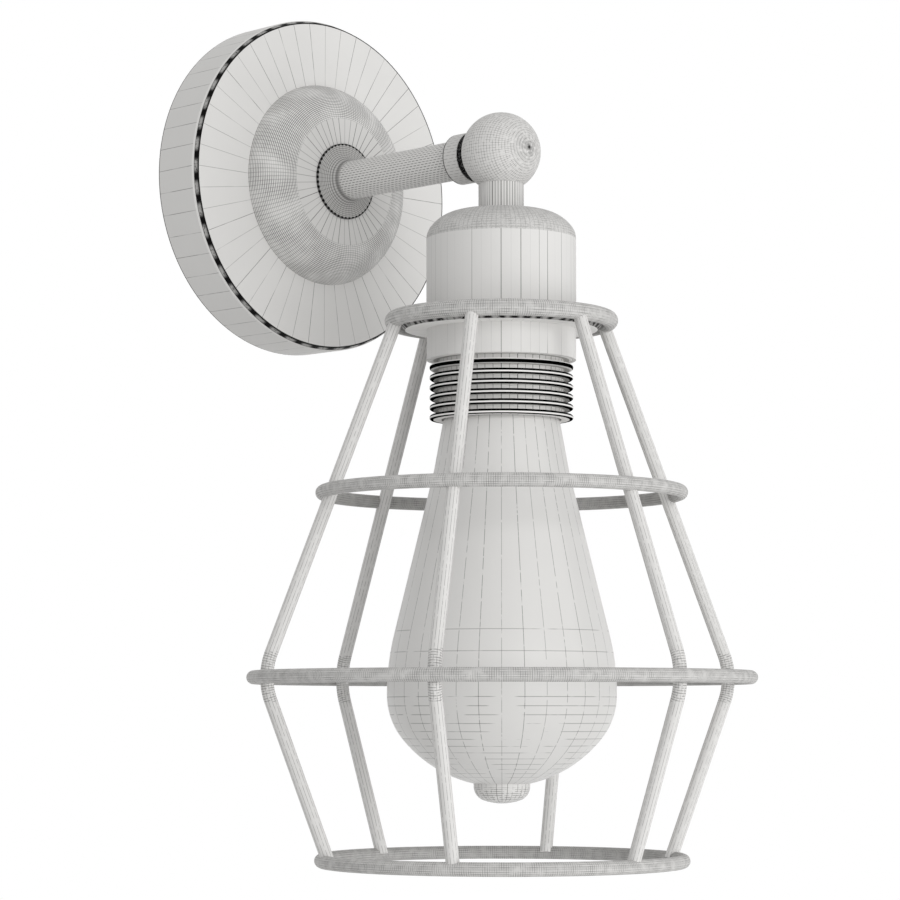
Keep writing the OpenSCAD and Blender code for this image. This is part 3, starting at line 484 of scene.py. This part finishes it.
def ball_coat():
    """Matt powder coat on a turned ball: fine rings and meridians, and the lathe's mark."""
    rings = parallels("wall", -LAMP_Y, BALL_R, step=0.87, width=0.17)
    mark = zone("wall", radii=(FROM_MIDDLE, BALL_MARK_R), heights=(-LAMP_Y, BALL_FRONT), soft=0.35)
    return surface("matt powder coat on a turned ball", PALE, COAT_ROUGH, [
        layer(both(rings, broken(1.0, 0.3, 0.55)), INK, cover=0.42, depth=-0.006),
        layer(both(spokes("wall", BALL_LINES, width=0.15), broken(1.0, 0.3, 0.55)), INK,
              cover=0.42, depth=-0.006),
        layer(mark, "#1C1C1C", cover=0.85),
    ], **DULL)


def cap_coat():
    """Matt powder coat on the deep drawn cap: turned dome, upright draw lines down its side."""
    dome = zone("lamp", heights=(CAP_SHOULDER, 0), soft=0.1)
    side = zone("lamp", heights=(CAP_END, CAP_SHOULDER), soft=0.1)
    rings = parallels("lamp", CAP_TOP - CAP_ROUND, CAP_ROUND, step=0.8, width=0.36,
                      ring=CAP_TOP_R)
    drawn = both(side, spokes("lamp", LINES, width=0.17, uneven=0.9),
                 broken(16, 0.25, 0.55, stretch=(1, 1, 0.12)))
    return surface("matt powder coat on the drawn cap", PALE, COAT_ROUGH, [
        layer(dome, "#C2C1BF", cover=0.6),
        layer(both(dome, rings, broken(3, 0.35, 0.6)), HAIR, cover=0.3, depth=-0.01),
        layer(both(dome, spokes("lamp", 2 * LINES, width=0.2)), HAIR, cover=0.25),
        layer(both(dome, broken(0.4, 0.5, 0.6)), HAIR, cover=0.2),
        layer(drawn, INK, cover=0.9, depth=-0.01),
    ], **DULL)


def neck_coat():
    """Matt powder coat on the drawn neck: close upright draw lines."""
    drawn = both(spokes("lamp", LINES, width=0.22, uneven=0.4),
                 broken(3, 0.25, 0.5, stretch=(1, 1, 0.2)))
    return surface("matt powder coat on the neck", "#D8D7D5", COAT_ROUGH, [
        layer(drawn, INK, cover=0.9, depth=-0.01),
    ], **DULL)


def shade_ring_coat():
    """Matt powder coat on the ring nut: upright lines, a few of them strong."""
    drawn = both(spokes("lamp", LINES, width=0.16, uneven=0.8),
                 broken(6, 0.3, 0.6, stretch=(1, 1, 0.3)))
    return surface("matt powder coat on the shade ring", "#DFDEDC", COAT_ROUGH, [
        layer(drawn, INK, cover=0.8, depth=-0.01),
    ], **DULL)


def disc_coat():
    """Matt powder coat on the pressed disc: radial lines, painted shade in grey on its edge by the
    top ring, with black nicks.
    """
    edge = zone("lamp", radii=DISC_EDGE_R)
    return surface("matt powder coat on the pressed disc", "#E8E7E5", COAT_ROUGH, [
        layer(both(spokes("lamp", LINES, width=0.16), broken(4)), HAIR, cover=0.4, depth=-0.01),
        # painted shade: the disc's edge by the top ring is painted dark grey; black nicks go over
        # it
        layer(edge, "#8E8D8B", cover=0.8),
        layer(both(edge, spokes("lamp", LINES, width=2.4), broken(2.0, 0.38, 0.48)), "#0C0C0C",
              cover=0.97, depth=-0.02),
    ], **DULL)


def thread_moulding():
    """Moulded pale thread: painted shade in black along each crest's rounded edge, leaving a pale
    face, and over one crest below the shade ring; painted shade in grey on the grooves' flank
    walls; fine upright marks in the grooves.
    """
    groove = zone("lamp", radii=(0, CREST_EDGE_R))
    shaded_flanks = zone("lamp", radii=(THREAD_ROOT_R, THREAD_OUT), heights=(SKIRT_END, THREAD_TOP))
    crests = zone("lamp", radii=(CREST_EDGE_R, THREAD_OUT),
                  heights=(SKIRT_END - SKIRT_LIP, CREST_PLAIN))
    band = zone("lamp", radii=(CREST_EDGE_R, THREAD_OUT), heights=CREST_BLACK)
    crest_edge_shade = stacked("lamp", CREST_FACE, CREST_PITCH, low=CREST_BRIGHT, high=CREST_PITCH)
    return surface("moulded holder thread", "#F0EFED", 0.5, [
        # painted shade: each crest's rounded edge is painted black, leaving a pale face between
        layer(both(crests, crest_edge_shade), "#030303", cover=1.0),
        # painted shade: the grooves' flank walls are painted grey
        layer(both(groove, shaded_flanks), "#C4C3C1", cover=0.9),
        layer(both(groove, spokes("lamp", LINES, width=0.22, uneven=0.5)), "#101010", cover=0.7),
        # painted shade: the first crest below the shade ring is painted wholly black
        layer(band, "#030303", cover=1.0),
    ], Specular_IOR_Level=0.0)


def ring_coat():
    """Matt powder coat on drawn ring wire: painted shade on the side that faces the lamp, fine
    lengthwise lines, crossed by rolled marks.
    """
    return surface("matt powder coat on ring wire", "#CBCAC8", 0.6, [
        # painted shade: the wire's side towards the lamp is painted darker grey
        layer(painted_inner_shade(), "#A3A2A0", cover=0.65),
        layer(both(lay("round", pitch=1 / 18, width=0.016), broken(3.0, 0.3, 0.6)), INK,
              cover=0.46, depth=-0.008),
        layer(both(lay("along", pitch=0.6, width=0.22), broken(2.2, 0.35, 0.6)), INK,
              cover=0.42, depth=-0.008),
    ], mottle=0.1, patch=4, relief=0.012, **DULL)


def rod_coat():
    """Matt powder coat on straightened wire: a few draw lines, close bending marks at the knee."""
    height = ROD_SIZES["Knee height"]
    knee = zone("lamp", heights=(height - KNEE_MARKS, height + KNEE_MARKS))
    return surface("matt powder coat on rod wire", "#DAD9D7", COAT_ROUGH, [
        layer(both(lay("round", pitch=1 / 12, width=0.012), broken(1.6, 0.35, 0.5)), INK,
              cover=0.5, depth=-0.01),
        layer(both(knee, lay("along", pitch=0.66, width=0.24), broken(0.7, 0.35, 0.55)), INK,
              cover=0.55, depth=-0.01),
    ], **DULL)


def opal_glass():
    """Opal coated blown glass: soft sheen, fine mould lines and level ones round its end."""
    upright = both(spokes("lamp", LAMP_LINES, width=0.16, uneven=0.3), broken(1.6, 0.34, 0.46))
    end = both(zone("lamp", radii=GLASS_END_REACH, heights=GLASS_END_Z),
               parallels("lamp", GLASS_END_MID, GLASS_END_R, step=2.5, width=0.17),
               broken(8, 0.4, 0.5))
    wide = both(zone("lamp", heights=GLASS_WIDE_Z),
                stacked("lamp", GLASS_WIDE_LINE, GLASS_WIDE_STEP, low=FROM_MIDDLE, high=0.08),
                broken(9, 0.4, 0.5))
    tip = both(zone("lamp", heights=GLASS_TIP_Z),
               stacked("lamp", GLASS_TIP_Z[1], pitch=0.55, low=FROM_MIDDLE, high=0.09),
               broken(1.4, 0.4, 0.55))
    return surface("opal coated lamp glass", "#DAD9D7", 0.4, [
        layer(upright, INK, cover=0.65, depth=-0.004),
        layer(end, INK, cover=0.6, depth=-0.004),
        layer(wide, INK, cover=0.55, depth=-0.004),
        layer(tip, INK, cover=0.6, depth=-0.004),
    ], relief=0.002, patch=30, mottle=0.015, Specular_IOR_Level=0.18)


def zinc_steel():
    """Zinc plated pressed steel: bright spangled grey, faintly blue."""
    return surface("zinc plated steel", "#B9BBBD", 0.35, [
        layer(broken(2.0), "#A2A5A8", cover=0.4, depth=0.004),
    ], metallic=1.0, mottle=0.06, patch=4)


def brass():
    """Turned brass: close tool rings, warm yellow, dulled by handling."""
    rings = turned("lamp", pitch=0.35, width=0.12, along="height")
    return surface("turned brass", "#C9A86A", 0.32, [
        layer(rings, "#8A6C3A", cover=0.35, depth=-0.005),
    ], metallic=1.0, mottle=0.05, patch=5)


def friction_fibre():
    """Pressed black friction fibre: coarse dark grain."""
    return surface("pressed friction fibre", "#070707", 0.85, [
        layer(broken(0.5, 0.5, 0.6), "#808080", cover=0.45, depth=0.02),
    ], grain=0.3, relief=0.03, **DULL)


def block_plastic():
    """Moulded nylon terminal block: milky white, satin."""
    return surface("moulded nylon", "#DAD8D0", 0.5, [
        layer(broken(3), "#C8C6BC", cover=0.3),
    ], grain=0.8)


def ceramic():
    """Glazed steatite: smooth off white with small dark specks."""
    return surface("glazed steatite", "#E2DFD6", 0.25, [
        layer(broken(0.6, 0.72, 0.76), "#6D675B", cover=0.5),
    ], relief=0.001)


def flex_sheath():
    """Extruded PVC lead: smooth pale grey with faint draw marks."""
    return surface("extruded lead sheath", "#C6C4C0", 0.45, [
        layer(broken(1.2, stretch=(1, 0.2, 1)), "#AFADA8", cover=0.4),
    ])


def earth_sheath():
    """Green and yellow earth sleeving, in patches of the two colours."""
    return surface("striped earth sleeve", "#5E8C3A", 0.45, [
        layer(broken(2.2, 0.5, 0.52), "#D9C23A", cover=0.95),
    ])


def tinned_metal():
    """Tinned contact metal: dull silver with soft scratches."""
    return surface("tinned contact metal", "#C4C5C6", 0.3, [
        layer(broken(0.8, stretch=(1, 1, 0.2)), "#9DA0A3", cover=0.4, depth=0.002),
    ], metallic=1.0)


def clear_glass():
    """Clear drawn glass of the lamp's stem."""
    return surface("clear drawn glass", "#F2F4F4", 0.08, [
        layer(broken(3), "#E6EAEA", cover=0.3),
    ], relief=0.0, Transmission_Weight=1.0, IOR=1.5)


def glass_insulator():
    """Black vitrite of the lamp cap's insulator: glossy, nearly black."""
    return surface("black vitrite", "#17161A", 0.2, [
        layer(broken(1.5), "#2B2A2F", cover=0.5, depth=0.003),
    ])


FINISHES = {
    canopy_coat: ["canopy"],
    arm_coat: ["arm_tube"],
    flange_coat: ["arm_flange"],
    collar_coat: ["arm_collar"],
    ball_coat: ["swivel_ball"],
    neck_coat: ["neck_tube"],
    cap_coat: ["holder_cap"],
    shade_ring_coat: ["shade_ring"],
    disc_coat: ["cage_disc"],
    thread_moulding: ["holder_skirt"],
    opal_glass: ["lamp_envelope"],
    zinc_steel: ["wall_bracket", "nipple_locknuts", "swivel_spring", "block_screws", "stop_pin"],
    brass: ["canopy_nipple", "earth_screw", "swivel_spindle", "swivel_nut", "neck_nipple",
            "neck_locknut", "screw_shell", "terminal_screws"],
    friction_fibre: ["swivel_washer"],
    block_plastic: ["terminal_block"],
    ceramic: ["holder_insulator"],
    flex_sheath: ["arm_flex", "head_flex", "holder_leads"],
    earth_sheath: ["earth_lead"],
    tinned_metal: ["lamp_cap_shell", "lamp_contact", "centre_contact", "lamp_supports",
                   "lamp_filaments"],
    clear_glass: ["lamp_stem"],
    glass_insulator: ["lamp_cap_insulator"],
}


def dress_nodes(nodes):
    """Gives every CAD node that stays in view its finish."""
    for finish, names in FINISHES.items():
        made = finish()
        for name in names:
            slots = nodes[name].data.materials
            slots.clear()
            slots.append(made)


# ---- Wires: node trees that sweep a round wire along a ring or a bent rod ----

def size_tree(name, labels):
    """An empty node tree with its named sizes in metres and a finish, and its inputs' values."""
    tree = bpy.data.node_groups.new(name, "GeometryNodeTree")
    for label in labels:
        tree.interface.new_socket(label, in_out="INPUT", socket_type="NodeSocketFloat")
    tree.interface.new_socket("Finish", in_out="INPUT", socket_type="NodeSocketMaterial")
    tree.interface.new_socket("Shape", in_out="OUTPUT", socket_type="NodeSocketGeometry")
    return tree, node(tree, "NodeGroupInput").outputs


def sweep(tree, sizes, path, sides):
    """Sweeps a round wire along the path; stores the mm along it and the share round it."""
    reach = node(tree, "GeometryNodeSplineParameter").outputs["Length"]
    along = node(tree, "ShaderNodeMath", {0: reach}, {1: 1 / MM}, operation="MULTIPLY").outputs[0]
    path = node(tree, "GeometryNodeStoreNamedAttribute", {"Geometry": path, "Value": along},
                {"Name": "along"}, data_type="FLOAT", domain="POINT").outputs[0]
    wire = node(tree, "GeometryNodeCurvePrimitiveCircle", {"Radius": sizes["Wire radius"]},
                {"Resolution": sides}, mode="RADIUS").outputs[0]
    share = node(tree, "GeometryNodeSplineParameter").outputs["Factor"]
    wire = node(tree, "GeometryNodeStoreNamedAttribute", {"Geometry": wire, "Value": share},
                {"Name": "round"}, data_type="FLOAT", domain="POINT").outputs[0]
    return node(tree, "GeometryNodeCurveToMesh", {"Curve": path, "Profile Curve": wire},
                {"Fill Caps": True}).outputs[0]


def end_tree(tree, sizes, shape, spot, turn=None):
    """Moves the shape to its place and ends the tree."""
    links = {"Geometry": shape, "Translation": spot}
    if turn:
        links["Rotation"] = turn
    moved = node(tree, "GeometryNodeTransform", links).outputs[0]
    real = node(tree, "GeometryNodeRealizeInstances", {0: moved}).outputs[0]
    coated = node(tree, "GeometryNodeSetMaterial",
                  {"Geometry": real, "Material": sizes["Finish"]}).outputs[0]
    node(tree, "NodeGroupOutput", {0: coated})
    return tree


def ring_tree():
    """A round wire bent into a level ring on the lamp's axis."""
    tree, sizes = size_tree("wire ring", ("Ring radius", "Wire radius", "Height"))
    path = node(tree, "GeometryNodeCurvePrimitiveCircle", {"Radius": sizes["Ring radius"]},
                {"Resolution": RING_STEPS}, mode="RADIUS").outputs[0]
    spot = node(tree, "ShaderNodeCombineXYZ", {2: sizes["Height"]}, {1: LAMP_Y * MM}).outputs[0]
    return end_tree(tree, sizes, sweep(tree, sizes, path, RING_SIDES), spot)


def rod_tree():
    """A round wire rod with one bend, leaning in a plane through the lamp's axis."""
    tree, sizes = size_tree("bent rod", tuple(ROD_SIZES) + ("Turn",))
    top, knee, foot = (
        node(tree, "ShaderNodeCombineXYZ",
             {0: sizes[part + " radius"], 2: sizes[part + " height"]}).outputs[0]
        for part in ("Top", "Knee", "Foot"))
    line = node(tree, "GeometryNodeCurvePrimitiveLine", {"Start": top, "End": foot}).outputs[0]
    halves = node(tree, "GeometryNodeSubdivideCurve", {"Curve": line}, {"Cuts": 1}).outputs[0]
    index = node(tree, "GeometryNodeInputIndex").outputs[0]
    is_middle = node(tree, "FunctionNodeCompare", {2: index}, {3: 1}, data_type="INT",
                     operation="EQUAL").outputs[0]
    bent = node(tree, "GeometryNodeSetPosition",
                {"Geometry": halves, "Selection": is_middle, "Position": knee}).outputs[0]
    path = node(tree, "GeometryNodeFilletCurve", {"Curve": bent, "Radius": sizes["Bend radius"]},
                {"Count": ROD_BEND_STEPS}, mode="POLY").outputs[0]
    spot = node(tree, "ShaderNodeCombineXYZ", values={1: LAMP_Y * MM}).outputs[0]
    turn = node(tree, "ShaderNodeCombineXYZ", {2: sizes["Turn"]}).outputs[0]
    return end_tree(tree, sizes, sweep(tree, sizes, path, ROD_SIDES), spot, turn)


def grown(name, tree, sizes, finish):
    """The plain mesh object that a tree makes from its named sizes."""
    seed = bpy.data.objects.new(name + "_seed", bpy.data.meshes.new(name + "_seed"))
    bpy.context.scene.collection.objects.link(seed)
    shape = seed.modifiers.new("shape", "NODES")
    shape.node_group = tree
    for item in tree.interface.items_tree:
        if item.in_out == "INPUT":
            shape[item.identifier] = finish if item.name == "Finish" else sizes[item.name]
    graph = bpy.context.evaluated_depsgraph_get()
    mesh = bpy.data.meshes.new_from_object(seed.evaluated_get(graph))
    bpy.data.objects.remove(seed)
    mesh.name = name
    # The wire's sides are quads and shade smooth; the caps on its ends stay flat.
    smooth = [len(face.vertices) == 4 for face in mesh.polygons]
    mesh.polygons.foreach_set("use_smooth", smooth)
    piece = bpy.data.objects.new(name, mesh)
    bpy.context.scene.collection.objects.link(piece)
    return piece


def wire_rings():
    """The cage's four wire rings, with the lay of their finish."""
    tree, finish = ring_tree(), ring_coat()
    for name, (ring, wire, height) in WIRE_RINGS.items():
        sizes = {"Ring radius": ring * MM, "Wire radius": wire * MM, "Height": height * MM}
        piece = grown(name.replace("cage_", "wire_"), tree, sizes, finish)
        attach(piece, "head")
        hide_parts(name)


def bent_rods():
    """The cage's six bent rods, with draw lines along them."""
    tree, finish = rod_tree(), rod_coat()
    sizes = {label: value * MM for label, value in ROD_SIZES.items()}
    for i in range(ROD_COUNT):
        sizes["Turn"] = math.radians(ROD_START + i * 360 / ROD_COUNT)
        piece = grown(f"bent_rod_{i + 1}", tree, sizes, finish)
        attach(piece, "head")
        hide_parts(f"cage_rod_{i + 1}")


# ---- Studio ----

def seen(tree):
    """Mask of the camera's own rays and of those that gloss and glass pass on."""
    path = node(tree, "ShaderNodeLightPath").outputs
    mask = path["Is Camera Ray"]
    for ray in ("Is Glossy Ray", "Is Transmission Ray"):
        mask = node(tree, "ShaderNodeMath", {0: mask, 1: path[ray]},
                    operation="MAXIMUM").outputs[0]
    return mask


def studio_floor():
    """A plain pale floor below the light, lifted to white for the camera; it keeps shadows."""
    mesh = bpy.data.meshes.new("studio_floor")
    corners = [(x * FLOOR_REACH, y * FLOOR_REACH, FLOOR_Z)
               for x, y in ((-1, -1), (1, -1), (1, 1), (-1, 1))]
    mesh.from_pydata(corners, [], [(0, 1, 2, 3)])
    floor = bpy.data.objects.new("studio_floor", mesh)
    bpy.context.scene.collection.objects.link(floor)
    mat = bpy.data.materials.new("pale studio floor")
    mat.use_nodes = True
    tree = mat.node_tree
    tree.nodes.clear()
    base = node(tree, "ShaderNodeBsdfDiffuse", values={"Color": linear("#E8E8E8")}).outputs[0]
    power = node(tree, "ShaderNodeMath", {0: seen(tree)}, {1: FLOOR_GLOW},
                 operation="MULTIPLY").outputs[0]
    glow = node(tree, "ShaderNodeEmission", {"Strength": power},
                {"Color": (1, 1, 1, 1)}).outputs[0]
    lit = node(tree, "ShaderNodeAddShader", {0: base, 1: glow}).outputs[0]
    node(tree, "ShaderNodeOutputMaterial", {"Surface": lit})
    mesh.materials.append(mat)


def studio_sky():
    """Even pale light all round, seen as white by the camera."""
    world = bpy.data.worlds.new("studio")
    bpy.context.scene.world = world
    world.use_nodes = True
    tree = world.node_tree
    tree.nodes.clear()
    strength = node(tree, "ShaderNodeMapRange", {"Value": seen(tree)},
                    {"To Min": SKY_LIGHT, "To Max": 1.0}).outputs[0]
    glow = node(tree, "ShaderNodeBackground", {"Strength": strength},
                {"Color": (1, 1, 1, 1)}).outputs[0]
    node(tree, "ShaderNodeOutputWorld", {"Surface": glow})


def studio_lamps():
    """Large soft lamps, aimed at the middle of the light."""
    for name, (spot, side, watts) in SOFTBOXES.items():
        lamp = bpy.data.lights.new(name, "AREA")
        lamp.size = side
        lamp.energy = watts
        holder = bpy.data.objects.new(name, lamp)
        holder.location = spot
        aim = Vector(STUDIO_AIM) - Vector(spot)
        holder.rotation_euler = aim.to_track_quat("-Z", "Y").to_euler()
        bpy.context.scene.collection.objects.link(holder)


def camera():
    """The camera, at the photograph's viewing angle: a little below the light and to its left."""
    lens = bpy.data.cameras.new("photo_camera")
    lens.lens = CAMERA_LENS
    lens.sensor_width = CAMERA_SENSOR
    lens.clip_end = CAMERA_FAR
    holder = bpy.data.objects.new("photo_camera", lens)
    holder.location = CAMERA_AT
    holder.rotation_euler = [math.radians(a) for a in CAMERA_TURN]
    bpy.context.scene.collection.objects.link(holder)
    bpy.context.scene.camera = holder


def main():
    """Dresses the frame."""
    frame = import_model()
    bpy.context.scene.view_settings.view_transform = "Standard"
    camera()
    dress_nodes(frame["nodes"])
    wire_rings()
    bent_rods()
    studio_floor()
    studio_sky()
    studio_lamps()


main()
